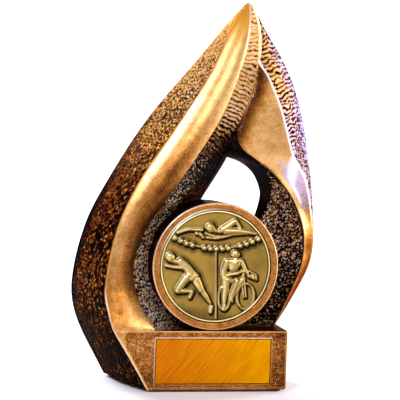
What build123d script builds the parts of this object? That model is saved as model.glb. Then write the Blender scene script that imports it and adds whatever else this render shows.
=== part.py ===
from build123d import *
import os

# Flame trophy with a medal centre: a one-piece cast figure of two twisted arms that rise
# from a block base and close over a round medal holder, a struck medal stuck in the holder,
# an engraving plate stuck in a pocket of the base, and felt under the base.
#
# Frame, in millimetres: +Z up, the front faces -Y. X = 0 runs through the middle of the
# medal, Y = 0 is half the depth of the base, Z = 0 is the felt's resting face.

# ---- Driving dimensions -------------------------------------------------------------------

MEDAL_DIAMETER = 50.0
MEDAL_THICKNESS = 2.0
MEDAL_HEIGHT = 57.0             # centre of the medal above the table
MEDAL_RIM_WIDTH = 1.5
MEDAL_RELIEF = 0.5              # the rim and the figures stand this high on the field
MEDAL_GAP = 0.3                 # clearance round the medal in its recess
MEDAL_PAD_THICKNESS = 0.8
MEDAL_PAD_DIAMETER = 46.0

HOLDER_DIAMETER = 57.2
HOLDER_FRONT = -25.5
HOLDER_BACK = 4.0
HOLDER_BACK_DIAMETER = 55.2
HOLDER_RECESS = 3.2
HOLDER_EDGE = 0.7

FELT_THICKNESS = 1.0
FELT_INSET = 1.5
FELT_CORNER = 3.0

BASE_TOP = 28.0
BASE_FRONT = -24.0
BASE_BACK = 19.0
BASE_RIGHT_FRONT = 34.8
BASE_RIGHT_BACK = 34.3
BASE_EDGE = 0.6
BASE_FOOT_CHAMFER = 1.0

PLATE_WIDTH = 52.3
PLATE_HEIGHT = 19.9
PLATE_THICKNESS = 0.6
PLATE_CENTRE_X = 0.7
PLATE_CENTRE_Z = 14.0
PLATE_EDGE = 0.15
PLATE_FILM_THICKNESS = 0.3
PLATE_FILM_MARGIN = 1.0
POCKET_MARGIN = 0.4
POCKET_DEPTH = 1.0

FIRST_SECTION = FELT_THICKNESS
SECTION_STEP = 7.0

# ---- Edge lines of the two arms -----------------------------------------------------------
# Each arm is a four-sided bar. Its edges are smooth lines through these (z, x, y) points.

LEFT_OUTER_BACK = [(1, -42, 20), (28, -56, 18), (45, -58.8, 17), (72, -53.5, 14.5),
                   (93, -43.6, 12.5), (121, -26.8, 10), (149, -4.9, 7), (168, 9.7, 3.5),
                   (175, 15.6, 0.8)]
LEFT_OUTER_FRONT = [(1, -29, -23.8), (14, -36.5, -23.8), (22, -41.5, -23.8), (28, -45, -23.6),
                    (34, -46.9, -22.4), (45, -48.5, -18.5), (72, -43.5, -16), (93, -34, -14.5),
                    (121, -15.5, -12), (142, -2.5, -10), (156, 4, -7.5), (168, 10, -4),
                    (175, 16, -0.8)]
LEFT_INNER_FRONT = [(1, -12, -20), (22, -22.5, -22.5), (28, -26, -23.6), (32, -28.7, -22.2),
                    (36, -31, -20.4), (45, -34.5, -17.3), (57, -35.5, -16), (72, -30.5, -15.5),
                    (93, -16, -14.5), (121, 2, -12), (142, 10.5, -10.5), (156, 14.5, -8.5),
                    (168, 16.5, -5), (175, 17, -1)]
LEFT_INNER_BACK = [(1, -2, 14), (28, 2, 14), (42, -3, 14.5), (57, -9, 14.5), (72, -6, 13.5),
                   (86, 1.5, 12), (100, 9.5, 10.5), (107, 12.5, 9), (114, 13.5, 2.5),
                   (121, 15, -4), (135, 20, -3.5), (149, 22.5, -3), (163, 22.5, -1),
                   (172, 20, 0), (175, 17.6, 0)]

RIGHT_OUTER_BACK = [(16, 26, 0), (28, 33, -1), (42, 41.5, 1), (57, 49, 3), (72, 51.5, 5),
                    (93, 51.1, 6.5), (114, 48.2, 7.8), (135, 42.3, 7), (149, 35.6, 6),
                    (163, 25.8, 3), (170, 21.4, 1.5)]
RIGHT_OUTER_FRONT = [(16, 25, -8), (28, 32.5, -8), (42, 41, -7.5), (57, 48, -7.5),
                     (72, 48.8, -8), (82, 47.6, -7.5), (90, 46, -8), (96, 44, -9),
                     (102, 40.4, -9.8), (107, 37.5, -10), (128, 31.5, -8), (142, 25.4, -7),
                     (149, 21.5, -4.5), (163, 19.5, -0.5), (170, 19.5, 0.5)]
RIGHT_INNER_FRONT = [(16, 24.5, -12), (28, 31, -12), (42, 37.7, -12), (57, 43.3, -12),
                     (72, 43.9, -10.5), (86, 39, -9), (93, 33.8, -8), (99, 28.3, -6.8),
                     (104, 21.5, -5.6), (108, 16, -4.6), (112, 13.6, -3.8), (118, 12.5, -3),
                     (128, 10, -2), (149, 9, 0), (170, 17.5, 1)]
RIGHT_INNER_BACK = [(16, -16, 17), (28, -5, 16), (42, 4, 15), (57, 14, 14), (72, 24, 14),
                    (86, 28, 13), (93, 26.2, 12.5), (98, 22.8, 12), (102, 17, 11.5),
                    (105, 8, 11), (112, -8, 8), (121, -14, 6), (149, 2, 4),
                    (170, 17, 2.5)]

# How far each side of an arm bows outward, as a share of its width (inward if negative):
# outer side, front ribbon, inner side, back.
LEFT_BOWS = (0.05, 0.13, 0.05, 0.04)
RIGHT_BOWS = (0.08, -0.03, 0.01, 0.05)
FLAT = 0.01                     # the least bow, which keeps every side an arc


# ---- Helpers ------------------------------------------------------------------------------

def edge_point(line, height):
    """The (x, y) where a smooth curve through a line's points crosses a height."""
    last = len(line) - 1
    i = max(k for k in range(last) if line[k][0] <= height)
    low, high = line[i], line[i + 1]
    before, after = line[max(i - 1, 0)], line[min(i + 2, last)]
    span = high[0] - low[0]
    t = (height - low[0]) / span
    point = []
    for axis in (1, 2):
        slope_low = (high[axis] - before[axis]) / (high[0] - before[0]) * span
        slope_high = (after[axis] - low[axis]) / (after[0] - low[0]) * span
        point.append((2 * t**3 - 3 * t**2 + 1) * low[axis] + (t**3 - 2 * t**2 + t) * slope_low
                     + (3 * t**2 - 2 * t**3) * high[axis] + (t**3 - t**2) * slope_high)
    return tuple(point)


def section_heights(lowest, highest):
    """Evenly spaced section heights from the lowest to the highest."""
    count = round((highest - lowest) / SECTION_STEP)
    return [lowest + (highest - lowest) * k / count for k in range(count + 1)]


def bowed_side(start, end, bow):
    """The middle point of a side that bows outward from its chord (corners anticlockwise)."""
    run_x, run_y = end[0] - start[0], end[1] - start[1]
    return (start[0] + run_x / 2 + run_y * bow, start[1] + run_y / 2 - run_x * bow)


def arm_section(lines, bows, height):
    """An arm's four-sided section at a height."""
    corners = [edge_point(line, height) for line in lines]
    with BuildSketch(Plane.XY.offset(height)) as section:
        with BuildLine():
            for k, bow in enumerate(bows):
                start, end = corners[k], corners[(k + 1) % 4]
                ThreePointArc(start, bowed_side(start, end, bow), end)
        make_face()
    return section.sketch


def left_bows(height):
    """The left arm's bows: its ribbon lies flat in the base's front and bows out above it."""
    rise = min(max((height - BASE_TOP) / BASE_TOP, FLAT), 1)
    return (LEFT_BOWS[0], LEFT_BOWS[1] * rise, LEFT_BOWS[2] * rise, LEFT_BOWS[3])


def base_outline(height, inset):
    """Corners of the base's outline at a height, drawn in by an inset on its arm side."""
    front_x = edge_point(LEFT_OUTER_FRONT, height)[0]
    back_x = edge_point(LEFT_OUTER_BACK, height)[0]
    return [(front_x + inset, BASE_FRONT), (BASE_RIGHT_FRONT, BASE_FRONT),
            (BASE_RIGHT_BACK, BASE_BACK), (back_x + inset, BASE_BACK)]


# ---- Flame casting ------------------------------------------------------------------------

left_lines = (LEFT_OUTER_BACK, LEFT_OUTER_FRONT, LEFT_INNER_FRONT, LEFT_INNER_BACK)
right_lines = (RIGHT_OUTER_FRONT, RIGHT_OUTER_BACK, RIGHT_INNER_BACK, RIGHT_INNER_FRONT)
right_bows = (RIGHT_BOWS[0], RIGHT_BOWS[3], RIGHT_BOWS[2], RIGHT_BOWS[1])

with BuildPart() as left_arm:
    loft(sections=[arm_section(left_lines, left_bows(height), height)
                   for height in section_heights(FIRST_SECTION, LEFT_OUTER_BACK[-1][0])])

with BuildPart() as right_arm:
    loft(sections=[arm_section(right_lines, right_bows, height)
                   for height in section_heights(RIGHT_OUTER_BACK[0][0], RIGHT_OUTER_BACK[-1][0])])

with BuildPart() as base_block:
    for height in (FELT_THICKNESS, (FELT_THICKNESS + BASE_TOP) / 2, BASE_TOP):
        with BuildSketch(Plane.XY.offset(height)):
            with BuildLine():
                Polyline(*base_outline(height, inset=1.0), close=True)
            make_face()
    loft(ruled=True)
    chamfer(base_block.faces().sort_by(Axis.Z)[0].edges(), BASE_FOOT_CHAMFER)
    fillet(base_block.faces().sort_by(Axis.Z)[-1].edges(), BASE_EDGE)

holder_front = Plane.XZ.offset(-HOLDER_FRONT)
with BuildPart() as holder:
    with BuildSketch(holder_front):
        with Locations((0, MEDAL_HEIGHT)):
            Circle(HOLDER_DIAMETER / 2)
    with BuildSketch(Plane.XZ.offset(-HOLDER_BACK)):
        with Locations((0, MEDAL_HEIGHT)):
            Circle(HOLDER_BACK_DIAMETER / 2)
    loft()
    fillet(holder.faces().sort_by(Axis.Y)[0].edges(), HOLDER_EDGE)

with BuildPart() as flame_casting:
    add(base_block.part)
    add(left_arm.part)
    add(right_arm.part)
    add(holder.part)
    with BuildSketch(holder_front):
        with Locations((0, MEDAL_HEIGHT)):
            Circle(MEDAL_DIAMETER / 2 + MEDAL_GAP)
    extrude(amount=-HOLDER_RECESS, mode=Mode.SUBTRACT)
    with BuildSketch(Plane.XZ.offset(-BASE_FRONT)):
        with Locations((PLATE_CENTRE_X, PLATE_CENTRE_Z)):
            Rectangle(PLATE_WIDTH + 2 * POCKET_MARGIN, PLATE_HEIGHT + 2 * POCKET_MARGIN)
    extrude(amount=-POCKET_DEPTH, mode=Mode.SUBTRACT)

flame_casting.part.label = "flame_casting"

# ---- Medal centre and its pad -------------------------------------------------------------

recess_floor = HOLDER_FRONT + HOLDER_RECESS
pad_front = recess_floor - MEDAL_PAD_THICKNESS
medal_front = pad_front - MEDAL_THICKNESS
medal_field = medal_front + MEDAL_RELIEF

with BuildPart() as medal_adhesive_pad:
    with BuildSketch(Plane.XZ.offset(-recess_floor)):
        with Locations((0, MEDAL_HEIGHT)):
            Circle(MEDAL_PAD_DIAMETER / 2)
    extrude(amount=MEDAL_PAD_THICKNESS)

medal_adhesive_pad.part.label = "medal_adhesive_pad"

with BuildPart() as medal_disc:
    with BuildSketch(Plane.XZ.offset(-pad_front)):
        with Locations((0, MEDAL_HEIGHT)):
            Circle(MEDAL_DIAMETER / 2)
    extrude(amount=MEDAL_THICKNESS)
    with BuildSketch(Plane.XZ.offset(-medal_front)):
        with Locations((0, MEDAL_HEIGHT)):
            Circle(MEDAL_DIAMETER / 2 - MEDAL_RIM_WIDTH)
    extrude(amount=-MEDAL_RELIEF, mode=Mode.SUBTRACT)

medal_disc.part.label = "medal_disc"

# ---- Engraving plate and its adhesive film ------------------------------------------------

pocket_floor = BASE_FRONT + POCKET_DEPTH
film_front = pocket_floor - PLATE_FILM_THICKNESS

with BuildPart() as plate_adhesive:
    with BuildSketch(Plane.XZ.offset(-pocket_floor)):
        with Locations((PLATE_CENTRE_X, PLATE_CENTRE_Z)):
            Rectangle(PLATE_WIDTH - 2 * PLATE_FILM_MARGIN, PLATE_HEIGHT - 2 * PLATE_FILM_MARGIN)
    extrude(amount=PLATE_FILM_THICKNESS)

plate_adhesive.part.label = "plate_adhesive"

with BuildPart() as engraving_plate:
    with BuildSketch(Plane.XZ.offset(-film_front)):
        with Locations((PLATE_CENTRE_X, PLATE_CENTRE_Z)):
            Rectangle(PLATE_WIDTH, PLATE_HEIGHT)
    extrude(amount=PLATE_THICKNESS)
    chamfer(engraving_plate.faces().sort_by(Axis.Y)[0].edges(), PLATE_EDGE)

engraving_plate.part.label = "engraving_plate"

# ---- Base felt ----------------------------------------------------------------------------

with BuildPart() as base_felt:
    with BuildSketch() as felt_outline:
        with BuildLine():
            Polyline(*base_outline(FELT_THICKNESS, inset=0.0), close=True)
        make_face()
        offset(amount=-FELT_INSET, kind=Kind.INTERSECTION, mode=Mode.REPLACE)
        fillet(felt_outline.vertices(), FELT_CORNER)
    extrude(amount=FELT_THICKNESS)

base_felt.part.label = "base_felt"

# ---- Write one STEP file per piece --------------------------------------------------------

os.makedirs("parts", exist_ok=True)
pieces = (flame_casting, medal_adhesive_pad, medal_disc, plate_adhesive, engraving_plate,
          base_felt)
for piece in pieces:
    export_step(piece.part, f"parts/{piece.part.label}.step")
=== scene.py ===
import math
from itertools import product

import bmesh
import bpy
import numpy as np
from mathutils import Matrix, Vector
from mathutils.kdtree import KDTree


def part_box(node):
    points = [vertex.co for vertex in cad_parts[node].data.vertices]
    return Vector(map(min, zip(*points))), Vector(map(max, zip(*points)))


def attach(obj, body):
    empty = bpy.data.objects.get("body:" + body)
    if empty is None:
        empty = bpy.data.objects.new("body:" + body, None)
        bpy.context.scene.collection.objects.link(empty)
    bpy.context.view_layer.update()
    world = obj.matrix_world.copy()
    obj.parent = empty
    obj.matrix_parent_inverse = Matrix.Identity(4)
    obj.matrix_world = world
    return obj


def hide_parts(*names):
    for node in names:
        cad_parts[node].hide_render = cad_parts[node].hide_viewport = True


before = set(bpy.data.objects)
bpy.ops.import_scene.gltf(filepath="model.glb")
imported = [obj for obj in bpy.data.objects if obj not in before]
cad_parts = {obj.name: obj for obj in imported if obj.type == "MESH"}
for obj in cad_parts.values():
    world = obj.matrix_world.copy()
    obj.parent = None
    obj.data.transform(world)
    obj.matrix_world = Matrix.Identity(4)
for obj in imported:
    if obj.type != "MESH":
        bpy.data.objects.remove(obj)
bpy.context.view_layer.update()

MM = 0.001
casting_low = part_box("flame_casting")[0]
medal_low, medal_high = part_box("medal_disc")
plate_low, plate_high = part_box("engraving_plate")
felt_low, felt_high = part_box("base_felt")

# ---- Sizes of the casting, in millimetres ----

CASTING_BOTTOM = casting_low[2] / MM
MEDAL_RADIUS = (medal_high[0] - medal_low[0]) / 2 / MM
MEDAL_HEIGHT = (medal_high[2] + medal_low[2]) / 2 / MM
MEDAL_FRONT = medal_low[1] / MM
MEDAL_BACK = medal_high[1] / MM

BASE_TOP = 28.0
BASE_FRONT = -24.0
BASE_BACK = 19.0
BASE_RIGHT_FRONT = 34.8
BASE_RIGHT_BACK = 34.3
BASE_EDGE = 0.7
BASE_FOOT = 1.2
BASE_STEP = 0.45                # vertex spacing on the base's front

HOLDER_RADIUS = 28.6
HOLDER_BACK_RADIUS = 27.6
HOLDER_FRONT = -25.5
HOLDER_BACK = 4.0
RECESS_RADIUS = 25.3
RECESS_DEPTH = 3.2
HOLDER_EDGE = 0.7
RECESS_EDGE = 0.35
HOLDER_SPOKES = 240
GLEAM_TURN = 125                # degrees from +X round to where the rim's painted highlight is brightest

POCKET_MARGIN = 0.4
POCKET_DEPTH = 1.0
PLATE_MIDDLE = [(plate_low[k] + plate_high[k]) / 2 / MM for k in (0, 2)]
PLATE_HALF = [(plate_high[k] - plate_low[k]) / 2 / MM for k in (0, 2)]
PLATE_BEVEL = 0.14

FELT_INSET = 1.5
FELT_CORNER = 3.0

# The arms' edge lines, within a millimetre of the CAD casting's: smooth lines through
# (z, x, y) points.
LEFT_OUTER_BACK = [(1, -42, 20), (28, -56, 18), (45, -58.8, 17), (72, -53.5, 14.5),
                   (93, -43.6, 12.5), (121, -26.8, 10), (149, -4.9, 7), (168, 9.7, 3.5),
                   (175, 15.6, 0.8)]
LEFT_OUTER_FRONT = [(1, -29, -23.8), (14, -36.5, -23.8), (22, -41.5, -23.8), (28, -45, -23.6),
                    (34, -46.9, -22.4), (45, -48.5, -18.5), (72, -43.5, -16), (93, -34, -14.5),
                    (121, -15.5, -12), (142, -2.5, -10), (156, 4, -7.5), (168, 10, -4),
                    (175, 16, -0.8)]
LEFT_INNER_FRONT = [(1, -12, -20), (22, -22.5, -22.5), (28, -26, -23.6), (32, -28.7, -22.2),
                    (36, -31, -20.4), (45, -34.5, -17.3), (57, -35.5, -16), (72, -30.5, -15.5),
                    (93, -16, -14.5), (121, 2, -12), (142, 10.5, -10.5), (156, 14.5, -8.5),
                    (168, 16.5, -5), (175, 17, -1)]
LEFT_INNER_BACK = [(1, -2, 15), (28, 2, 15), (42, -3, 15), (57, -9, 14.5), (72, -6, 13.5),
                   (86, 1.5, 12), (100, 9.5, 10.5), (107, 12.5, 9), (114, 13.5, 2.5),
                   (121, 15, -4), (135, 20, -3.5), (149, 22.5, -3), (163, 22.5, -1),
                   (172, 20, 0), (175, 17.6, 0)]
RIGHT_OUTER_BACK = [(16, 26, 0), (28, 33, -1), (42, 41.5, 1), (57, 49, 3), (72, 51.5, 5),
                    (93, 51.1, 6.5), (114, 48.2, 7.8), (135, 42.3, 7), (149, 35.6, 6),
                    (163, 25.8, 3), (170, 21.4, 1.5)]
RIGHT_OUTER_FRONT = [(16, 25, -8), (28, 32.5, -8), (42, 41, -7.5), (57, 48, -7.5),
                     (72, 48.8, -8), (82, 47.6, -7.5), (90, 46, -8), (96, 44, -9),
                     (102, 40.4, -9.8), (107, 37.5, -10), (128, 31.5, -8),
                     (142, 25.4, -7), (149, 21.5, -4.5), (163, 19.5, -0.5), (170, 19.5, 0.5)]
RIGHT_INNER_FRONT = [(16, 24.5, -12), (28, 31, -12), (42, 37.7, -12), (57, 43.3, -12),
                     (72, 43.9, -10.5), (86, 39, -9), (93, 33.8, -8), (99, 28.3, -6.8),
                     (104, 21.5, -5.6), (108, 16, -4.6), (112, 13.6, -3.8), (118, 12.5, -3),
                     (128, 10, -2), (149, 9, 0), (170, 17.5, 1)]
RIGHT_INNER_BACK = [(16, -16, 17), (28, -5, 16), (42, 4, 15), (57, 14, 14), (72, 24, 14),
                    (86, 28, 13), (93, 26.2, 12.5), (98, 22.8, 12), (102, 17, 11.5),
                    (105, 8, 11), (112, -8, 8), (121, -14, 6), (149, 2, 4),
                    (170, 17, 2.5)]

# How dark the antique wash lies, as (height, share) stops.
OUTER_TONES = [(20, 0.73), (42, 0.57), (64, 0.6), (84, 0.62), (102, 0.59), (122, 0.46),
               (139, 0.12), (156, 0.02), (175, 0.02)]
INNER_TONES = [(57, 0.7), (80, 0.74), (98, 0.95), (105, 0.95), (113, 0.87), (120, 0.66),
               (130, 0.27), (145, 0.08), (160, 0.08)]
EDGE_TONES = [(70, 0.35), (84, 0.45), (112, 0.5), (125, 0.46), (143, 0.32), (155, 0.38)]
RIGHT_INNER_TONES = [(45, 1.0), (60, 0.88), (68, 0.76), (88, 0.78), (98, 0.95), (106, 1.0)]
# The ribbon's stops are partly painted shade: its inner half turning from the light, and its foot
# tipping up into it.
RIBBON_SHADE = [(34, 0.0), (46, 0.25), (60, 0.5), (75, 0.8), (95, 0.9), (112, 0.5), (126, 0.0)]
RIBBON_FOOT_SHADE = [(20, 0), (28, 0.5), (36, 0.9), (46, 0.7), (60, 0.3), (85, 0.25), (110, 0)]
BACK_WASH = 0.45

# How strongly the relief shows in the paint, as (height, share) stops.
OUTER_TEXTURE = [(60, 0.9), (95, 0.95), (112, 1.6), (140, 2.1), (165, 1.3)]
INNER_TEXTURE = [(60, 1.9), (90, 1.1), (110, 1.0), (118, 1.8), (125, 2.7), (140, 2.2), (160, 0.8)]
EDGE_TEXTURE = [(110, 2.1), (130, 1.9), (150, 1.1)]
RIGHT_INNER_TEXTURE = [(94, 1.7), (103, 0.5)]

# How many painted glints a face shows, as (height, share) stops.
OUTER_GLINT = [(114, 0.0), (132, 1.0), (150, 1.0), (165, 0.3)]
INNER_GLINT = [(28, 0.95), (60, 1.05), (75, 0.9), (92, 0.75), (106, 0.3), (114, 0.0)]
RIGHT_INNER_GLINT = [(45, 0.7), (62, 1), (90, 1), (104, 0)]

# Widths of the plain borders, and where the painted lilac sheen starts, as (height, mm) stops.
LEFT_PLAIN = [(60, 0.6), (80, 1.5), (90, 6), (104, 8), (112, 6.5), (120, 2.5), (126, 2.2)]
RIGHT_PLAIN = [(72, 3.0), (86, 8.0), (96, 13.0), (104, 16.0)]
SHEEN_START = [(84, 1.8), (95, 2.4), (98, 4.0), (102, 8.0)]

# How far each of an arm's four sides bows out, as a share of its width.
LEFT_BOWS = (0.05, 0.13, 0.05, 0.04)
RIGHT_BOWS = (0.08, 0.05, 0.01, -0.03)

# A painted highlight streak on the right arm's face, as (x, z, half width) points, and two
# small painted highlight spots, each with its (x, y, z) and its radius.
HIGHLIGHT_STREAK = [(38.4, 107.5, 0.8), (38.2, 102, 2.2), (37.8, 97, 1.9), (38.6, 92.5, 0.7),
               (42.8, 85, 0.45)]
GLEAMS = [((22.3, -7.5, 107.5), 1.5), ((13.2, -3.5, 118.5), 0.9)]

ROW_STEP = 0.5                  # height between two rows of an arm's mesh
FINE_STEP = 0.5                 # column spacing on textured sides
BACK_STEP = 3.2                 # column spacing on the backs
EDGE_ROUNDING = 0.35            # how far the arms' edges are rounded
PANEL_SLOPE = 0.6               # width over which a sunk panel reaches its depth

# What each vertex of the casting carries for its colour: how high it stands in the texture, how
# dark its antique wash and painted shading are, how strongly the texture shows, then its painted
# lilac reflection, its amber paint and painted golden highlight, its painted highlight and how
# many painted glints it shows.
LAYERS = ("relief", "wash_and_shading", "texture", "lilac_reflection", "amber_and_highlight", "painted_highlight", "glint")

random = np.random.default_rng(7)
GRADIENTS = random.normal(size=(512, 3))
GRADIENTS /= np.linalg.norm(GRADIENTS, axis=1)[:, None]
SCATTER = random.uniform(-1, 1, size=(512, 3))
PRIMES = (73856093, 19349663, 83492791)
SEED_PRIME = 2654435761


# ---- Noise ----

def table_key(lattice, seed):
    """A place in the random tables for each whole-numbered point."""
    key = seed * SEED_PRIME
    for axis in range(lattice.shape[-1]):
        key = key ^ (lattice[..., axis] * PRIMES[axis])
    return key % len(GRADIENTS)


def noise(points, seed=0):
    """Smooth noise of about -1 to 1 at an array of (x, y, z) points, one cell per unit."""
    shape = points.shape[:-1]
    points = points.reshape(-1, 3)
    cell = np.floor(points).astype(np.int64)
    inside = points - cell
    fade = inside**3 * (inside * (inside * 6 - 15) + 10)
    total = np.zeros(len(points))
    for corner in product((0, 1), repeat=3):
        toward = inside - np.array(corner)
        weight = np.prod(np.where(np.array(corner) == 1, fade, 1 - fade), axis=1)
        gradient = GRADIENTS[table_key(cell + np.array(corner), seed)]
        total += weight * np.einsum("ij,ij->i", gradient, toward)
    return total.reshape(shape) * 1.6


def ramp(low, high, value):
    """0 at low, 1 at high and beyond it, and smooth between."""
    t = np.clip((value - low) / (high - low), 0, 1)
    return t * t * (3 - 2 * t)


def band(value, up_from, up_to, down_from, down_to):
    """1 between a smooth ramp up and a smooth ramp down."""
    return ramp(up_from, up_to, value) * ramp(down_to, down_from, value)


# ---- Meshes ----

def edge_points(line, heights):
    """The (x, y) where a smooth curve through a line's points crosses each height."""
    line = np.array(line, float)
    z = line[:, 0]
    i = np.clip(np.searchsorted(z, heights, side="right") - 1, 0, len(z) - 2)
    before, after = np.maximum(i - 1, 0), np.minimum(i + 2, len(z) - 1)
    span = (z[i + 1] - z[i])[:, None]
    t = (np.asarray(heights)[:, None] - z[i][:, None]) / span
    low, high = line[i, 1:], line[i + 1, 1:]
    slope_low = (high - line[before, 1:]) / (z[i + 1] - z[before])[:, None] * span
    slope_high = (line[after, 1:] - low) / (z[after] - z[i])[:, None] * span
    return ((2 * t**3 - 3 * t**2 + 1) * low + (t**3 - 2 * t**2 + t) * slope_low
            + (3 * t**2 - 2 * t**3) * high + (t**3 - t**2) * slope_high)


def bar_sections(corners, bows, rounding, samples=1200):
    """Evenly spaced loops round a four-sided bar, with bowed sides and rounded corners.

    corners is (4, rows, 2), anticlockwise from above. Returns the loops as complex numbers,
    and the share of the loop at which each corner lies.
    """
    dense, per_side = [], samples // 4
    t = np.arange(per_side) / per_side
    for k in range(4):
        start, end = corners[k], corners[(k + 1) % 4]
        run = end - start
        out = np.stack([run[:, 1], -run[:, 0]], axis=1) * np.asarray(bows[k]).reshape(-1, 1)
        side = start[:, None] + run[:, None] * t[None, :, None]
        dense.append(side + out[:, None] * (4 * t * (1 - t))[None, :, None])
    loop = np.concatenate(dense, axis=1)
    loop = loop[..., 0] + 1j * loop[..., 1]
    step = np.abs(np.diff(np.concatenate([loop, loop[:, :1]], axis=1), axis=1))
    length = np.concatenate([np.zeros((len(loop), 1)), np.cumsum(step, axis=1)], axis=1)
    total = length[:, -1]
    corner_share = length[:, [k * per_side for k in range(5)]] / total[:, None]
    even = np.arange(samples) / samples
    closed = np.concatenate([loop, loop[:, :1]], axis=1)
    rows = [np.interp(even, length[r] / total[r], closed[r].real)
            + 1j * np.interp(even, length[r] / total[r], closed[r].imag)
            for r in range(len(loop))]
    waves = np.fft.fft(np.array(rows), axis=1)
    turns = np.fft.fftfreq(samples, 1 / samples)
    spread = np.minimum(rounding / total, 0.02)[:, None]
    waves *= np.exp(-0.5 * (2 * np.pi * turns[None, :] * spread)**2)
    return np.fft.ifft(waves, axis=1), corner_share, total


def bar_grid(corners, heights, bows, columns, rounding=EDGE_ROUNDING):
    """A bar's vertices as a (rows, columns, 3) grid, with outward normals.

    columns holds, for each side, the shares of the side at which its columns lie. Each
    vertex's side and its distances from the side's start and end are returned too.
    """
    loops, corner_share, total = bar_sections(corners, bows, rounding)
    samples = loops.shape[1]
    rows = np.arange(len(loops))
    grid, side, from_start, to_end = [], [], [], []
    for k in range(4):
        side_share = corner_share[:, k + 1] - corner_share[:, k]
        for share in columns[k]:
            place = ((corner_share[:, k] + side_share * share) * samples) % samples
            low = np.floor(place).astype(int)
            rest = place - low
            point = loops[rows, low] * (1 - rest) + loops[rows, (low + 1) % samples] * rest
            grid.append(np.stack([point.real, point.imag, heights], axis=1))
            side.append(np.full(len(loops), k))
            from_start.append(side_share * total * share)
            to_end.append(side_share * total * (1 - share))
    grid, side, from_start, to_end = (np.stack(part, axis=1)
                                      for part in (grid, side, from_start, to_end))
    return grid, grid_normals(grid), side, from_start, to_end


def grid_normals(grid):
    """Outward normals of a grid that closes round its columns."""
    along = np.gradient(grid, axis=0)
    around = np.roll(grid, -1, axis=1) - np.roll(grid, 1, axis=1)
    normal = np.cross(around, along)
    return normal / np.maximum(np.linalg.norm(normal, axis=2), 1e-9)[..., None]


def tube_faces(rows, columns):
    """Quads of a closed tube, with a fan of triangles to a middle vertex at each end."""
    faces = []
    for r in range(rows - 1):
        for c in range(columns):
            right = (c + 1) % columns
            faces.append((r * columns + c, r * columns + right,
                          (r + 1) * columns + right, (r + 1) * columns + c))
    low, high = rows * columns, rows * columns + 1
    top = (rows - 1) * columns
    for c in range(columns):
        right = (c + 1) % columns
        faces.append((right, c, low))
        faces.append((top + c, top + right, high))
    return faces


def tube_mesh(name, grid, layers):
    """A closed mesh from a grid, with each layer's values as a point attribute."""
    rows, columns = grid.shape[:2]
    ends = [grid[0].mean(axis=0), grid[-1].mean(axis=0)]
    points = np.concatenate([grid.reshape(-1, 3), ends]) * MM
    mesh = bpy.data.meshes.new(name)
    mesh.from_pydata(points.tolist(), [], tube_faces(rows, columns))
    values = {key: np.concatenate([layer.ravel(), layer[0, :1], layer[-1, :1]])
              for key, layer in layers.items()}
    return mesh, points, values


def box_mesh(name, low, high, bevel=0.0):
    """A box between two opposite corners, its edges bevelled if a width is given."""
    mesh = bpy.data.meshes.new(name)
    tool = bmesh.new()
    bmesh.ops.create_cube(tool, size=1.0)
    for vert in tool.verts:
        vert.co = [low[k] if vert.co[k] < 0 else high[k] for k in range(3)]
    if bevel:
        bmesh.ops.bevel(tool, geom=tool.edges[:], offset=bevel, segments=2, profile=0.5,
                        affect="EDGES")
    tool.to_mesh(mesh)
    tool.free()
    return mesh


def make_object(name, mesh):
    piece = bpy.data.objects.new(name, mesh)
    bpy.context.scene.collection.objects.link(piece)
    return piece


def set_layer(mesh, name, values):
    """Stores one float per vertex under a name."""
    layer = mesh.attributes.new(name, "FLOAT", "POINT")
    layer.data.foreach_set("value", np.asarray(values, np.float32))


def boolean(target, others, operation):
    """Applies a boolean of each other object to the target, and deletes the others."""
    for other in others:
        cut = target.modifiers.new("cut", "BOOLEAN")
        cut.operation = operation
        cut.solver = "MANIFOLD"
        cut.object = other
        graph = bpy.context.evaluated_depsgraph_get()
        result = bpy.data.meshes.new_from_object(target.evaluated_get(graph))
        target.modifiers.clear()
        target.data = result
        bpy.data.objects.remove(other)


# ---- Texture of the casting ----

def hammered(points, scale, seed):
    """Random fine pebbles, 0 in the grooves between them and 1 on their tops."""
    broad = noise(points / scale, seed)
    fine = noise(points / (scale * 0.55), seed + 1)
    return np.clip(0.5 + 0.6 * broad + 0.4 * fine, 0, 1)


def lumps(across, along, size, seed, share=1.0):
    """Scattered lumps of about this (across, along) size, a share of them standing high."""
    points = np.stack([across / size[0], along / size[1]], axis=-1)
    upright = np.dstack([points, np.zeros(across.shape)])
    points = points + 0.45 * np.dstack([noise(upright * 0.8, seed),
                                        noise(upright * 0.8, seed + 1)])
    cell = np.floor(points).astype(np.int64)
    nearest, second = np.full(across.shape, 9.0), np.full(across.shape, 9.0)
    own_height = np.zeros(across.shape)
    for step in product((-1, 0, 1), repeat=2):
        lattice = cell + np.array(step)
        key = table_key(lattice, seed)
        away = np.linalg.norm(lattice + 0.5 + 0.42 * SCATTER[key, :2] - points, axis=-1)
        own_height = np.where(away < nearest, SCATTER[key, 2], own_height)
        second = np.minimum(second, np.maximum(nearest, away))
        nearest = np.minimum(nearest, away)
    level = 0.5 + 0.5 * own_height
    top = ramp(0.0, 0.52, second - nearest) * (0.7 + 0.3 * level)
    top *= 1 + 0.2 * noise(upright * 2.3, seed + 2)
    return top * ramp(1 - share - 0.15, 1 - share + 0.15, level)


def wrinkled(points, along, spacing, seed, wave=1.0):
    """Wavy broken ridges across a band, spaced along its length."""
    bend = noise(points / (spacing * 2.2), seed)
    bend += 0.4 * noise(points / (spacing * 0.9), seed + 1)
    ridge = 0.5 + 0.5 * np.sin(2 * np.pi * along / spacing + 4.0 * wave * bend)
    broken = noise(points / (spacing * 0.8), seed + 3)
    return np.clip(0.05 + 0.95 * ridge**0.85 + 0.45 * wave * broken, 0, 1)


def sunk(grid, normal, depth, relief):
    """The grid with its hollows, where the relief is 0, pressed in by the depth."""
    return grid + normal * (depth * (relief - 1.0))[..., None]


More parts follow.
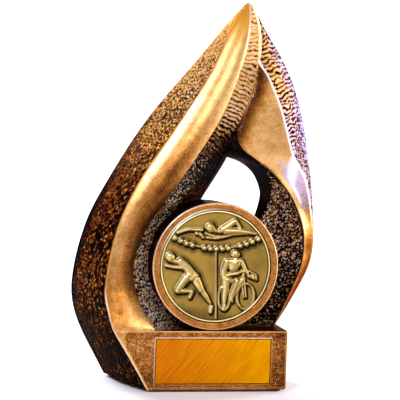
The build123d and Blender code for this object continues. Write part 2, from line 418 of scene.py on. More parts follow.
def panel(distance_start, distance_end, border_start, border_end):
    """1 on a sunk panel inside a side's plain borders, 0 on the borders."""
    return (ramp(border_start, border_start + PANEL_SLOPE, distance_start)
            * ramp(border_end, border_end + PANEL_SLOPE, distance_end))


def arm_rows(low, high):
    """Evenly spaced heights for an arm's rows."""
    return np.linspace(low, high, int((high - low) / ROW_STEP))


def arm_length(grid):
    """How far along the arm each row lies."""
    middle = grid.mean(axis=1)
    step = np.linalg.norm(np.diff(middle, axis=0), axis=1)
    return np.concatenate([[0], np.cumsum(step)])[:, None] * np.ones(grid.shape[1])[None, :]


def shares(width, step):
    """Evenly spaced column shares for a side about this wide."""
    count = max(int(round(width / step)), 2)
    return [k / count for k in range(count)]


def edged_shares(count):
    """Column shares that crowd towards both ends of a smooth side."""
    return [(1 - math.cos(math.pi * k / count)) / 2 for k in range(count)]


def tone(z, stops):
    """The value at each height, between (height, value) stops."""
    return np.interp(z, *zip(*stops))


def streak(x, z, chain):
    """1 along a chain of (x, z, half width) points, fading to 0 beside it."""
    found = np.zeros_like(x)
    for (ax, az, ar), (bx, bz, br) in zip(chain, chain[1:]):
        t = np.clip(((x - ax) * (bx - ax) + (z - az) * (bz - az))
                    / ((bx - ax)**2 + (bz - az)**2), 0, 1)
        away = np.hypot(x - ax - (bx - ax) * t, z - az - (bz - az) * t)
        found = np.maximum(found, ramp(1.5, 0.6, away / (ar + (br - ar) * t)))
    return found


# ---- Left arm ----

def outer_wash_and_shade(z, start, end, broad):
    """The left arm's outer face: antique darkening, heavier low down, with painted shade towards
    its back edge, a painted dark line along that edge and painted shade in the groove beside the
    ribbon high up.
    """
    wash_and_shading = tone(z, OUTER_TONES) + 0.08 * broad
    # painted shade towards the back edge, a painted dark line along it, and painted groove shade
    # beside the ribbon
    wash_and_shading += 0.45 * ramp(10, 1, start) * ramp(135, 95, z)
    wash_and_shading += 0.5 * ramp(0.9, 0.3, start)
    return wash_and_shading + 0.4 * ramp(0.9, 0.2, end) * ramp(110, 130, z)


def ribbon_wash_and_shade(z, start, end):
    """The ribbon: a darker inner half, partly airbrushed antique colour and partly painted shade
    where it turns from the light; painted shade on its outer half high up; painted highlights
    along its pale edges; and painted shade over its dark foot, where it tips up into the light.
    """
    across = start / (start + end)
    shaded = ramp(0.2, 0.65, across) * (1 - 0.6 * ramp(0.65, 1, across))
    wash_and_shading = 0.1 + 0.55 * shaded * tone(z, RIBBON_SHADE)
    # painted shade on the outer half high up, then painted highlights along both edges
    wash_and_shading += 0.14 * band(z, 128, 138, 152, 162) * ramp(0.5, 0.2, across)
    wash_and_shading -= 0.12 * ramp(0.7, 0.2, np.minimum(start, end))
    foot = 1 - 0.7 * ramp(0.35, 0.65, across) * ramp(46, 38, z)
    return wash_and_shading + 0.42 * foot * tone(z, RIBBON_FOOT_SHADE)


def inner_wash(z, start, past_border, broad):
    """The left arm's inner face: antique darkening, darkest on its plain border."""
    wash_and_shading = tone(z, INNER_TONES) + 0.05 * broad
    wash_and_shading -= 0.25 * ramp(5, 1, start) * ramp(75, 45, z)
    return wash_and_shading + ramp(0.6, -0.2, past_border) * ramp(118, 112, z)


def left_relief(grid, side, start, along, z):
    """Pebbles on the outer face, and dots that turn into ridges up the inner face."""
    crowd = tone(z, [(20, 0.45), (50, 0.65), (90, 0.85), (110, 1.0)])
    pebbles = lumps(start, along, (1.5, 1.7), 3, crowd) * tone(z, [(95, 0.75), (118, 1)])
    slanted = along + 0.35 * start * ramp(158, 135, z)
    ridges = wrinkled(grid, slanted, 2.0, 11, 0.75)
    dots = lumps(start, along, (1.9, 1.6), 15)
    return np.where(side == 2, dots + (ridges - dots) * ramp(88, 108, z), pebbles)


def left_arm():
    """The left arm, whose sides are the outer face, the ribbon, the inner face and the back."""
    lines = (LEFT_OUTER_BACK, LEFT_OUTER_FRONT, LEFT_INNER_FRONT, LEFT_INNER_BACK)
    heights = arm_rows(CASTING_BOTTOM, LEFT_OUTER_BACK[-1][0])
    corners = np.array([edge_points(line, heights) for line in lines])
    rise = np.clip((heights - BASE_TOP) / BASE_TOP, 0, 1)
    level = np.ones_like(heights)
    bows = [bow * share for bow, share in zip(LEFT_BOWS, (level, rise, rise, level))]
    columns = (shares(37, FINE_STEP), edged_shares(22), shares(28, FINE_STEP),
               shares(36, BACK_STEP))
    grid, normal, side, start, end = bar_grid(corners, heights, bows, columns)
    z, along = grid[..., 2], arm_length(grid)
    broad = noise(grid / 7, 5)

    ribbon = side == 1
    border = tone(z, LEFT_PLAIN)
    outer = (side == 0) * panel(end, start, 0.4, 0.8)
    inner = (side == 2) * panel(start, end, 0.3, border)
    relief = left_relief(grid, side, start, along, z)
    depth = (0.5 + 0.3 * ramp(105, 135, z)) * outer + 0.7 * inner

    wash_and_shading = np.choose(side, [outer_wash_and_shade(z, start, end, broad), ribbon_wash_and_shade(z, start, end),
                            inner_wash(z, start, end - border, broad), BACK_WASH])
    # Amber paint, with a painted golden highlight at the ribbon's tip and along its outer edge
    # lower down.
    amber_and_highlight = ribbon * ramp(152, 168, z)
    amber_and_highlight += 0.5 * ribbon * ramp(0.9, 0.3, start) * ramp(130, 110, z)
    amber_and_highlight += inner * ramp(0.2, 0.55, relief) * ramp(118, 138, z)
    amber_and_highlight += 0.35 * outer * relief * ramp(80, 110, z)
    # Painted highlights: along the ribbon's inner edge and the inner face's back edge high up, on
    # the inner face's ridge tops, and along the ribbon's outer edge low down.
    painted_highlight = ramp(0.6, 0.2, end) * (ribbon * ramp(148, 158, z)
                                 + (side == 2) * ramp(116, 126, z))
    painted_highlight += 0.3 * inner * ramp(0.6, 0.95, relief) * ramp(115, 127, z)
    painted_highlight += 0.3 * ribbon * ramp(0.8, 0.3, start) * ramp(50, 40, z)
    far = ramp(5, 14, start) * band(z, 70, 84, 110, 120)
    texture = outer * tone(z, OUTER_TEXTURE)
    texture += inner * (1 - 0.7 * far) * tone(z, INNER_TEXTURE)
    # painted glints: bright specks standing for light caught on the bumps
    glint = 1 - ramp(6, 18, start) * ramp(70, 84, z)
    glint = 1.25 * glint * inner * tone(z, INNER_GLINT)
    glint += 0.35 * outer * tone(z, OUTER_GLINT)
    return sunk(grid, normal, depth, relief), dict(
        relief=relief, wash_and_shading=np.clip(wash_and_shading, 0, 1), texture=texture, painted_highlight=painted_highlight, amber_and_highlight=amber_and_highlight,
        glint=glint)


# ---- Right arm ----

def front_wash_and_shade(z, start, end, broad, fine, crease_shade):
    """The right arm's smooth front: light, darkest with painted shade in the crease where the left
    arm covers it and where its nose rolls back, darker low down, and a painted highlight along its
    outer edge.
    """
    wash_and_shading = 0.13 + 0.05 * broad + 0.1 * fine + 0.58 * crease_shade
    wash_and_shading -= 0.08 * ramp(112, 102, z)
    wash_and_shading += 0.22 * ramp(98, 86, z) * ramp(6, 2, end)
    wash_and_shading += 0.3 * ramp(78, 62, z)
    wash_and_shading += 0.25 * ramp(2.0, 0.3, start) * band(z, 84, 96, 104, 118)
    return wash_and_shading - 0.14 * ramp(0.8, 0.2, end)


def right_painted_highlights(grid, z, side, start, end, broad):
    """Painted highlights on the right arm: along its outer edge, at its elbow, in a streak and in
    two spots.
    """
    from_edge = np.where(side == 3, end, np.where(side == 0, start, 9.0))
    painted_highlight = ramp(0.7, 0.3, from_edge) * band(z, 76, 90, 152, 162)
    elbow = 0.8 * (side == 0) * ramp(2.5, 1.2, start) * band(z, 86, 92, 102, 110)
    pale = 0.85 * (side == 3) * streak(grid[..., 0] + 0.4 * broad, z, HIGHLIGHT_STREAK)
    painted_highlight = np.maximum.reduce([painted_highlight, elbow, pale])
    for spot, radius in GLEAMS:
        away = np.linalg.norm(grid - np.array(spot), axis=2)
        painted_highlight = np.maximum(painted_highlight, 0.8 * (side == 3) * ramp(radius, 0.4 * radius, away))
    return painted_highlight


def right_arm():
    """The right arm, whose sides are the edge face, the back, the inner face and the front."""
    lines = (RIGHT_OUTER_FRONT, RIGHT_OUTER_BACK, RIGHT_INNER_BACK, RIGHT_INNER_FRONT)
    heights = arm_rows(RIGHT_OUTER_BACK[0][0], RIGHT_OUTER_BACK[-1][0])
    corners = np.array([edge_points(line, heights) for line in lines])
    bows = [np.full_like(heights, bow) for bow in RIGHT_BOWS]
    bows[3] += 0.02 * band(heights, 84, 96, 104, 118)
    columns = (shares(17, FINE_STEP), shares(34, BACK_STEP), shares(27, FINE_STEP),
               edged_shares(18))
    grid, normal, side, start, end = bar_grid(corners, heights, bows, columns)
    z, along = grid[..., 2], arm_length(grid)
    across = start / (start + end)
    broad = noise(grid / 6, 25)

    outer = (side == 0) * panel(start, end, 0.7, 0.3) * ramp(60, 75, z)
    plain = tone(z, RIGHT_PLAIN)
    inner = (side == 2) * panel(end, start, 1.0, plain)
    spots = lumps(start, along, (1.9, 1.5), 35)
    ridges = wrinkled(grid, along - 0.2 * start, 1.9, 31)
    edge_relief = spots + (ridges - spots) * ramp(110, 122, z + 34 * (0.3 - across))
    relief = np.where(side == 0, edge_relief, lumps(start, along, (1.9, 1.6), 23))

    crease = edge_points(LEFT_INNER_BACK, heights)[:, :1]
    # painted shade in the crease where the left arm covers the front
    crease_shade = ramp(8, 0.5, grid[..., 0] - crease) * ramp(106, 116, z)
    # a painted lilac reflection on the front, near its outer edge
    sheen = (side == 3) * (ramp(0, 0.8, start - tone(z, SHEEN_START))
                           * band(z, 80, 86, 100, 106))
    # the edge face's antique wash, and a painted dark line of shade along its back edge
    edge_wash_and_shade = tone(z, EDGE_TONES) + 0.05 * broad + 0.7 * ramp(1.3, 0.4, end)
    inner_dark = tone(z, RIGHT_INNER_TONES) + 0.08 * broad
    inner_dark += ramp(1.0, 0.0, start - plain) + 0.3 * ramp(1.6, 0.8, end)
    fine = noise(grid / 1.6, 27)
    front = front_wash_and_shade(z, start, end, broad, fine, crease_shade) + 0.15 * sheen
    wash_and_shading = np.choose(side, [edge_wash_and_shade, BACK_WASH, inner_dark, front])
    texture = outer * tone(z, EDGE_TEXTURE) + inner * tone(z, RIGHT_INNER_TEXTURE)
    # a painted lilac reflection on the edge face, near its back edge up high and over the whole
    # face lower down
    lilac_reflection = (side == 0) * ramp(62, 86, z) * (
        0.9 * ramp(0.4, 0.85, across) * ramp(168, 145, z) + 0.6 * ramp(138, 116, z))
    amber_and_highlight = 0.2 * (side == 3) * (1 - crease_shade) * ramp(96, 104, z)
    glint = 0.65 * inner * tone(z, RIGHT_INNER_GLINT)
    grid = sunk(grid, normal, 0.7 * outer + 0.6 * inner, relief)
    painted_highlight = right_painted_highlights(grid, z, side, start, end, broad)
    return grid, dict(relief=relief, wash_and_shading=np.clip(wash_and_shading, 0, 1), texture=texture,
                      lilac_reflection=lilac_reflection + 0.8 * sheen, painted_highlight=painted_highlight, amber_and_highlight=amber_and_highlight, glint=glint)


# ---- Base, holder and the whole casting ----

def quarter(steps, radius):
    """Points round a quarter circle, as distances from the two sides that it joins."""
    turns = math.pi / 2 * np.arange(steps + 1) / steps
    return list(zip(radius * (1 - np.cos(turns)), radius * (1 - np.sin(turns))))


def base_profile():
    """The base's row heights and their insets, with a rounded foot and top edge."""
    low, high = CASTING_BOTTOM + BASE_FOOT, BASE_TOP - BASE_EDGE
    rows = [(CASTING_BOTTOM + rise, inset) for rise, inset in quarter(5, BASE_FOOT)[:-1]]
    rows += [(z, 0.0) for z in np.linspace(low, high, int((high - low) / BASE_STEP))]
    rows += [(BASE_TOP - drop, inset) for inset, drop in quarter(4, BASE_EDGE)[1:]]
    return np.array(rows).T


def base_wash_and_highlight(x, z, side, front, broad):
    """The base's darkening, heavier low down, and dark on its top beside the ribbon, with a
    painted highlight along the front's top edge.
    """
    wash_and_shading = 0.2 + 0.14 * ramp(20, 4, z) + front * (0.2 + 0.06 * broad)
    wash_and_shading += 0.12 * ramp(20, 30, x) + 0.1 * ramp(23, 25, z)
    wash_and_shading += front * 0.12 * ramp(0, -35, x) * ramp(24, 2, z)
    # a painted highlight along the front's top edge
    wash_and_shading -= 0.1 * (side == 0) * ramp(BASE_TOP - 1.2, BASE_TOP - 0.4, z)
    top = 0.85 * ramp(BASE_TOP - 0.15, BASE_TOP - 0.02, z) * ramp(-30, -22, x)
    return np.clip(np.maximum(np.where(side == 0, wash_and_shading, 0.4), top), 0, 1)


def base_block():
    """The block base, its front stippled round the plate's pocket."""
    heights, insets = base_profile()
    front_left = edge_points(LEFT_OUTER_FRONT, heights)[:, 0] + 1.0
    back_left = edge_points(LEFT_OUTER_BACK, heights)[:, 0] + 2.0
    front_y, back_y = BASE_FRONT + insets, BASE_BACK - insets
    corners = np.array([np.stack(corner, axis=1) for corner in (
        (front_left, front_y), (BASE_RIGHT_FRONT - insets, front_y),
        (BASE_RIGHT_BACK - insets, back_y), (back_left, back_y))])
    columns = (shares(72, BASE_STEP), shares(42, 1.4), shares(70, 3.0), shares(42, 3.0))
    grid, normal, side, start, end = bar_grid(corners, heights, (0, 0, 0, 0), columns, 0.5)
    x, z = grid[..., 0], grid[..., 2]
    beside = np.maximum(np.abs(x - PLATE_MIDDLE[0]) - PLATE_HALF[0],
                        np.abs(z - PLATE_MIDDLE[1]) - PLATE_HALF[1]) - POCKET_MARGIN
    margin = tone(z, [(11, 0.0), (20, 0.2), (24, 1.2), (28, 6.0)])
    front = (side == 0) * ramp(margin, margin + 0.5, start) * ramp(0.8, 1.3, end)
    front = front * ramp(0.35, 0.75, beside) * band(
        z, CASTING_BOTTOM + 1.0, CASTING_BOTTOM + 1.5, BASE_TOP - 1.3, BASE_TOP - 0.8)
    stipple = hammered(grid, 0.62, 41)
    wash_and_shading = base_wash_and_highlight(x, z, side, front, noise(grid / 8, 45))
    # a painted highlight along the pocket's left and top edges
    lit = np.maximum(ramp(0.2, 0.5, PLATE_MIDDLE[0] - PLATE_HALF[0] - x),
                     ramp(0.2, 0.5, z - PLATE_MIDDLE[1] - PLATE_HALF[1]))
    painted_highlight = 0.35 * (side == 0) * ramp(0.45, 0.15, beside) * lit
    grid = grid + normal * (front * (stipple * 0.3 - 0.45))[..., None]
    return grid, dict(relief=stipple, wash_and_shading=wash_and_shading, texture=front * 0.42, painted_highlight=painted_highlight)


def holder_profile():
    """(radius, y) points of the medal holder, from the recess floor's middle to the back's."""
    floor = HOLDER_FRONT + RECESS_DEPTH
    points = [(0.0, floor), (RECESS_RADIUS * 0.5, floor), (RECESS_RADIUS - 0.4, floor),
              (RECESS_RADIUS, floor - 0.3), (RECESS_RADIUS, floor - 1.5)]
    points += [(RECESS_RADIUS + out, HOLDER_FRONT + back) for out, back in quarter(3, RECESS_EDGE)]
    middle = (RECESS_RADIUS + HOLDER_RADIUS) / 2
    points += [(middle + shift, HOLDER_FRONT - 0.03) for shift in (-0.7, 0.7)]
    points += [(HOLDER_RADIUS - inset, HOLDER_FRONT + back)
               for back, inset in quarter(4, HOLDER_EDGE)]
    points += list(zip(np.linspace(HOLDER_RADIUS, HOLDER_BACK_RADIUS, 18)[1:],
                       np.linspace(HOLDER_FRONT + HOLDER_EDGE, HOLDER_BACK, 18)[1:]))
    return points + [(HOLDER_BACK_RADIUS - 0.1, HOLDER_BACK),
                     (HOLDER_BACK_RADIUS * 0.5, HOLDER_BACK), (0.0, HOLDER_BACK)]


def medal_holder():
    """The round holder as a grid of rings, its first and last rings shrunk to a point."""
    radius, y = np.array(holder_profile()).T
    turns = np.linspace(0, 2 * math.pi, HOLDER_SPOKES, endpoint=False)
    ring, reach = np.ones(HOLDER_SPOKES), np.maximum(radius, 0.01)
    grid = np.stack([np.outer(reach, np.cos(turns)), np.outer(y, ring),
                     MEDAL_HEIGHT + np.outer(reach, np.sin(turns))], axis=2)
    outside = (radius > RECESS_RADIUS + 1) & (y > HOLDER_FRONT + HOLDER_EDGE)
    outside = outside & (y < HOLDER_BACK - 1)
    lip = (np.abs(radius - HOLDER_RADIUS) < 0.45) & (y < HOLDER_FRONT + 0.6)
    inner_lip = (np.abs(radius - RECESS_RADIUS - 0.2) < 0.3) & (y < HOLDER_FRONT + 0.3)
    # The outer lip is made paler and more amber, and both lips carry a painted highlight that is
    # brightest towards GLEAM_TURN.
    wash_and_shading = np.clip(0.43 + 0.6 * outside + 0.5 * (radius <= RECESS_RADIUS) - 0.35 * lip, 0, 1)
    toward = 0.5 + 0.5 * np.cos(turns - math.radians(GLEAM_TURN))
    painted_highlight = np.outer(lip, 0.08 + 0.3 * toward**2) + np.outer(inner_lip, 0.8 * toward**14)
    return grid, dict(relief=hammered(grid, 1.6, 61), wash_and_shading=np.outer(wash_and_shading, ring),
                      texture=np.outer(0.6 * outside, ring), painted_highlight=painted_highlight,
                      amber_and_highlight=np.outer(0.5 * lip, ring))


def pocket_box():
    """The block that is cut out of the base's front for the plate."""
    low = np.array(plate_low) - POCKET_MARGIN * MM
    high = np.array(plate_high) + POCKET_MARGIN * MM
    low[1], high[1] = (BASE_FRONT - 3) * MM, (BASE_FRONT + POCKET_DEPTH) * MM
    return make_object("pocket", box_mesh("pocket", low, high))


def flame_casting():
    """The whole casting as one closed mesh, with its texture layers carried over."""
    solids, points = [], []
    values = {key: [] for key in LAYERS}
    for name, (grid, layers) in (("base", base_block()), ("left", left_arm()),
                                 ("right", right_arm()), ("holder", medal_holder())):
        mesh, mesh_points, mesh_values = tube_mesh(name, grid, layers)
        solids.append(make_object(name, mesh))
        points.append(mesh_points)
        for key in LAYERS:
            values[key].append(mesh_values.get(key, np.zeros(len(mesh_points))))
    casting = solids[0]
    boolean(casting, solids[1:], "UNION")
    boolean(casting, [pocket_box()], "DIFFERENCE")
    casting.name = casting.data.name = "cast_flame"

    points = np.concatenate(points)
    tree = KDTree(len(points))
    for k, point in enumerate(points):
        tree.insert(point, k)
    tree.balance()
    nearest = [tree.find(vert.co)[1] for vert in casting.data.vertices]
    for key in LAYERS:
        set_layer(casting.data, key, np.concatenate(values[key])[nearest])
    casting.data.shade_smooth()
    return casting


# ---- Medal ----

# The struck figures, generic ones. Each limb is a chain of round strokes, given as
# (x, z, radius) points in millimetres from the medal's middle.
SWIMMER = [
    [(-3.2, 17.6, 2.0), (-2.8, 17.1, 1.9)],  # head
    [(-1.4, 16.5, 1.1), (-0.5, 15.9, 0.8)],  # chin and neck
    [(-6.8, 16.3, 0.7), (-12.9, 16.5, 0.7), (-17.7, 14.8, 0.5)],  # leading arm
    [(0.8, 15.6, 0.7), (2.5, 16.5, 1.5)],  # shoulder
    [(2.7, 16.6, 1.6), (8.0, 20.4, 1.2)],  # upper arm
    [(8.1, 20.7, 1.0), (10.1, 18.2, 0.7), (11.1, 16.0, 0.6)],  # forearm
    [(4.0, 15.9, 1.6), (9.2, 16.0, 1.3), (15.0, 15.4, 0.9), (18.1, 14.8, 0.6)],  # back
]
WATER = [
    [(-9.0, 14.6, 0.7), (-8.7, 14.5, 0.6)],
    [(-7.3, 14.1, 0.8), (-7.0, 13.9, 0.7)],
    [(-6.4, 13.1, 0.7), (-6.0, 13.0, 0.6)],
    [(-4.8, 14.6, 0.4), (-1.0, 13.4, 0.5), (2.4, 13.0, 0.5), (7.0, 14.3, 0.4), (12.7, 14.8, 0.4)],
    [(-4.4, 12.8, 0.4), (0.2, 12.5, 0.4), (3.2, 13.2, 0.4)],
]
RUNNER = [
    [(-20.9, 4.2, 2.0), (-20.5, 3.6, 1.9)],  # head
    [(-19.2, 2.3, 1.0), (-17.6, 1.9, 1.0)],  # neck
    [(-16.2, 2.3, 1.6), (-13.8, 0.2, 1.9), (-10.9, -3.1, 1.9)],  # back
    [(-16.6, 2.3, 1.1), (-14.2, -0.3, 0.9)],  # upper arm
    [(-13.8, -0.7, 0.9), (-19.1, -0.5, 0.7), (-22.4, 0.1, 0.6)],  # forearm
    [(-12.1, -3.8, 1.6), (-8.9, -4.3, 1.5), (-10.6, -5.3, 1.6)],  # shorts
    [(-13.2, -5.3, 1.9), (-16.7, -10.2, 1.5)],  # front thigh
    [(-16.8, -11.0, 1.3), (-11.9, -11.2, 0.8), (-10.6, -11.3, 0.8)],  # front shin
    [(-10.4, -11.5, 0.9), (-11.2, -14.1, 0.6)],  # front foot
    [(-8.6, -6.0, 1.9), (-6.1, -10.7, 1.4)],  # rear thigh
    [(-5.9, -10.9, 1.2), (-3.9, -13.5, 1.1), (-1.9, -16.6, 0.6)],  # rear calf
    [(-1.3, -18.2, 1.0), (-1.6, -20.6, 0.7)],  # rear foot
]
CYCLIST = [
    [(8.6, 5.8, 1.8), (9.3, 5.4, 1.6)],  # head
    [(8.9, 3.3, 1.0), (9.3, 2.2, 1.2)],  # neck
    [(5.4, 2.3, 1.3), (8.8, 2.4, 1.2), (11.4, 2.5, 1.0)],  # shoulders
    [(8.4, 1.0, 3.0), (8.2, -0.1, 2.3)],  # trunk
    [(5.0, 2.2, 1.5), (3.8, -1.2, 1.4), (3.7, -4.0, 1.1)],  # near arm
    [(3.9, -4.1, 1.0), (7.3, -3.4, 0.85), (10.2, -2.9, 0.8)],  # near forearm
    [(11.6, 2.6, 1.0), (13.4, -0.6, 0.8), (14.8, -3.0, 0.7)],  # far arm
    [(4.3, -5.3, 1.4), (5.4, -6.1, 1.7), (7.4, -6.2, 1.2)],  # hips
    [(5.1, -6.5, 1.8), (4.9, -10.2, 1.4), (4.6, -13.8, 1.1), (4.6, -16.3, 0.7)],  # near leg
    [(4.5, -17.5, 0.8), (4.5, -19.3, 0.8)],  # near foot
    [(9.9, -6.4, 1.1), (8.7, -10.0, 1.1), (7.5, -13.8, 0.8)],  # far leg
    [(7.5, -14.7, 0.9), (8.1, -15.7, 0.6)],  # far foot
]
BICYCLE = [
    [(10.5, -2.8, 0.5), (12.8, -1.9, 0.4), (15.8, -2.0, 0.4), (18.6, -3.7, 0.5),
     (18.9, -5.8, 0.4)],  # handlebar
    [(13.0, -2.1, 0.4), (12.9, -5.1, 0.5)],  # stem
    [(15.3, -4.0, 0.7), (16.2, -4.6, 0.7)],  # brake levers
    [(17.0, -4.0, 0.7), (17.7, -5.0, 0.9)],
    [(12.8, -5.3, 0.4), (12.5, -8.1, 0.35), (13.4, -13.9, 0.3)],  # fork
    [(13.3, -5.3, 0.4), (14.4, -13.7, 0.3)],
    [(12.7, -5.8, 0.45), (8.1, -14.3, 0.4)],  # down tube
    [(12.3, -5.6, 0.4), (8.7, -10.8, 0.4)],  # top tube
]
FIGURES = ((SWIMMER, 1.0), (WATER, 1.0), (RUNNER, 1.0), (CYCLIST, 0.95), (BICYCLE, 0.9))
WHEELS = [(4.4, -14.2, 2.6, 5.4), (14.2, -13.4, 3.9, 5.8)]      # middle, half width, half height
TYRE = 0.46                     # half of a tyre's width
HEADS = [(-3.0, 17.4), (-20.7, 3.9), (8.8, 5.9)]
HEAD_RADIUS = 2.0

BEAD_STEP = 2.72
BEAD_RADIUS = 1.25
BEADS_EACH_SIDE = 7
LINK = 3                        # the rope shows bare at the third bead place each side
ROPE_RADIUS = 0.35
ROPE_LOWEST = 7.9
ROPE_CURVE = 0.0128
DIVIDER = [(-0.1, 6.8), (1.0, -23.3)]
DIVIDER_HALF = 0.32
DIVIDER_HEIGHT = 0.35

FIELD_DEPTH = 0.5               # from the medal's raised rim down to its field
RIM_START = 24.15
MEDAL_SPOKES = 600


def stroke(x, z, start, end, grow):
    """How high one tapered round stroke stands over the field at each (x, z)."""
    ax, az, ar = start
    bx, bz, br = end
    run = max((bx - ax)**2 + (bz - az)**2, 1e-6)
    t = np.clip(((x - ax) * (bx - ax) + (z - az) * (bz - az)) / run, 0, 1)
    radius = ar + (br - ar) * t
    distance = np.hypot(x - ax - (bx - ax) * t, z - az - (bz - az) * t)
    dome = np.sqrt(np.clip(1 - (distance / (radius + grow))**2, 0, 1))
    return dome * np.minimum(0.3 + 0.75 * radius, 1.5)


def rope_place(place):
    """The (x, z) of a bead's place on the hanging rope, counted from its lowest point."""
    x = place * BEAD_STEP
    return x, ROPE_LOWEST + ROPE_CURVE * x**2


def wheel_height(x, z, middle_x, middle_z, half_width, half_height, grow):
    """How high a wheel's tyre stands, an oval ring seen at a slant."""
    u, v = (x - middle_x) / half_width, (z - middle_z) / half_height
    ring = np.hypot(u, v)
    slope = np.hypot(u / half_width, v / half_height) / np.maximum(ring, 1e-6)
    away = np.abs(ring - 1) / np.maximum(slope, 1e-6)
    return 0.5 * np.sqrt(np.clip(1 - (away / (TYRE + grow))**2, 0, 1))


def divider_height(x, z, grow):
    """How high the thin upright line between the two lower figures stands."""
    (top_x, top_z), (low_x, low_z) = DIVIDER
    t = np.clip((top_z - z) / (top_z - low_z), 0, 1)
    past_end = np.maximum(z - top_z, 0) + np.maximum(low_z - z, 0)
    away = np.hypot(x - top_x - (low_x - top_x) * t, past_end)
    return DIVIDER_HEIGHT * ramp(DIVIDER_HALF + 0.2 + grow, DIVIDER_HALF - 0.1, away)


def figure_height(x, z, grow=0.0):
    """How high the struck figures stand over the medal's field, in millimetres."""
    high = divider_height(x, z, grow)
    for limbs, share in FIGURES:
        for limb in limbs:
            for start, end in zip(limb, limb[1:]):
                high = np.maximum(high, share * stroke(x, z, start, end, grow))
    for place in range(-BEADS_EACH_SIDE, BEADS_EACH_SIDE + 1):
        if abs(place) == LINK:
            start, end = ((*rope_place(place + k), ROPE_RADIUS) for k in (-1, 1))
            high = np.maximum(high, stroke(x, z, start, end, grow))
        else:
            bead = (*rope_place(place), BEAD_RADIUS)
            high = np.maximum(high, 1.15 * stroke(x, z, bead, bead, grow))
    for wheel in WHEELS:
        high = np.maximum(high, wheel_height(x, z, *wheel, grow))
    return high


def medal_layers(x, z, high, inside_rim, rim):
    """Antique darkening in the corners round the figures, partly painted shadow set to their lower
    right, with painted shade over the field's right and bottom; and how bright the high places
    are, with a painted highlight on their upper-left slopes.
    """
    # Both darkenings are set off towards the lower right, so they are partly painted shadow; the
    # field is given painted shade towards its right and bottom.
    around = figure_height(x - 0.45, z + 0.45, 0.6) * inside_rim
    wide = figure_height(x - 0.6, z + 0.6, 2.4) * inside_rim
    patina_and_shade = np.maximum.reduce([
        np.clip(around / 0.25, 0, 1), np.clip(0.45 * wide**2, 0, 0.6),
        0.2 * ramp(-10, 24, x - 0.35 * z), 0.55 * ramp(-16, -24, z + 0.15 * x)])
    at_rim = np.abs(np.hypot(x, z) - RIM_START + 0.1)
    patina_and_shade = np.maximum(patina_and_shade * ramp(0.3, 0.05, high), 0.75 * ramp(0.4, 0.1, at_rim))
    # Slopes facing the upper left are made paler and those facing the lower right darker: a
    # painted highlight and painted shade.
    slope = figure_height(x + 0.35, z - 0.35) - figure_height(x - 0.35, z + 0.35)
    raised_and_lit = 0.47 * ramp(0.1, 0.7, high) + 1.1 * np.clip(slope, -0.5, 0.8) * inside_rim
    return patina_and_shade, np.maximum(np.clip(raised_and_lit, 0, 1), rim[:, None])


def struck_medal():
    """The medal as rings of points: its struck front, its edge and its flat back."""
    radii = np.concatenate([np.linspace(0.15, 23.8, 114), np.linspace(23.95, MEDAL_RADIUS, 10)])
    turns = np.linspace(0, 2 * math.pi, MEDAL_SPOKES, endpoint=False)
    x, z = np.outer(radii, np.cos(turns)), np.outer(radii, np.sin(turns))
    inside_rim = ramp(RIM_START + 0.1, RIM_START - 0.4, np.hypot(x, z))
    high = figure_height(x, z) * inside_rim
    flat = np.stack([x, z, np.zeros_like(x)], axis=2)
    hair = noise(flat / 0.75, 71)
    for head_x, head_z in HEADS:
        away = np.hypot(x - head_x, z - head_z)
        high = high + 0.13 * hair * ramp(HEAD_RADIUS, 0.6 * HEAD_RADIUS, away)
    high = high + 0.02 * noise(flat / 3.0, 73)
    rim = ramp(RIM_START, RIM_START + 0.25, radii)
    edge = 0.15 * ramp(MEDAL_RADIUS - 0.2, MEDAL_RADIUS, radii)
    y = MEDAL_FRONT + FIELD_DEPTH - high - (FIELD_DEPTH * rim - edge)[:, None]
    front = np.stack([x, y, z + MEDAL_HEIGHT], axis=2)
    back_rings = [(MEDAL_RADIUS, 0.4), (MEDAL_RADIUS, 0.9), (MEDAL_RADIUS - 0.15, 1.0),
                  (12.0, 1.0), (0.15, 1.0)]
    back = np.array([[(r * math.cos(a), MEDAL_FRONT + (MEDAL_BACK - MEDAL_FRONT) * share,
                       MEDAL_HEIGHT + r * math.sin(a)) for a in turns] for r, share in back_rings])
    patina_and_shade, raised_and_lit = medal_layers(x, z, high, inside_rim, rim)
    blank = np.zeros((len(back_rings), MEDAL_SPOKES))
    mesh, _, values = tube_mesh("struck_medal", np.concatenate([front, back]), {
        "patina_and_shade": np.concatenate([patina_and_shade, blank]), "raised_and_lit": np.concatenate([raised_and_lit, blank])})
    for key, value in values.items():
        set_layer(mesh, key, value)
    mesh.shade_smooth()
    return make_object("struck_medal", mesh)


# ---- Plate and felt ----

def plate_piece():
    """The thin engraving plate with its softened edges."""
    mesh = box_mesh("brushed_plate", plate_low, plate_high, PLATE_BEVEL * MM)
    return make_object("brushed_plate", mesh)


def inset_corners(corners, inset):
    """The corners of an anticlockwise polygon whose sides are all moved inward."""
    moved = []
    count = len(corners)
    for k in range(count):
        a, b, c = (Vector(corners[(k + j) % count]) for j in (-1, 0, 1))
        first, second = (b - a).normalized(), (c - b).normalized()
        inward = Vector((-first.y, first.x)) + Vector((-second.y, second.x))
        inward.normalize()
        share = inset / max(inward.dot(Vector((-first.y, first.x))), 0.1)
        moved.append(b + inward * share)
    return moved


def corner_arc(a, b, c, radius, steps):
    """Points round the corner b, between its neighbours a and c, rounded to a radius."""
    back, ahead = (a - b).normalized(), (c - b).normalized()
    half = back.angle(ahead) / 2
    reach = radius / math.tan(half)
    centre = b + (back + ahead).normalized() * (radius / math.sin(half))
    first, last = b + back * reach - centre, b + ahead * reach - centre
    turn = first.angle_signed(last)
    return [centre + Matrix.Rotation(-turn * step / steps, 2) @ first
            for step in range(steps + 1)]


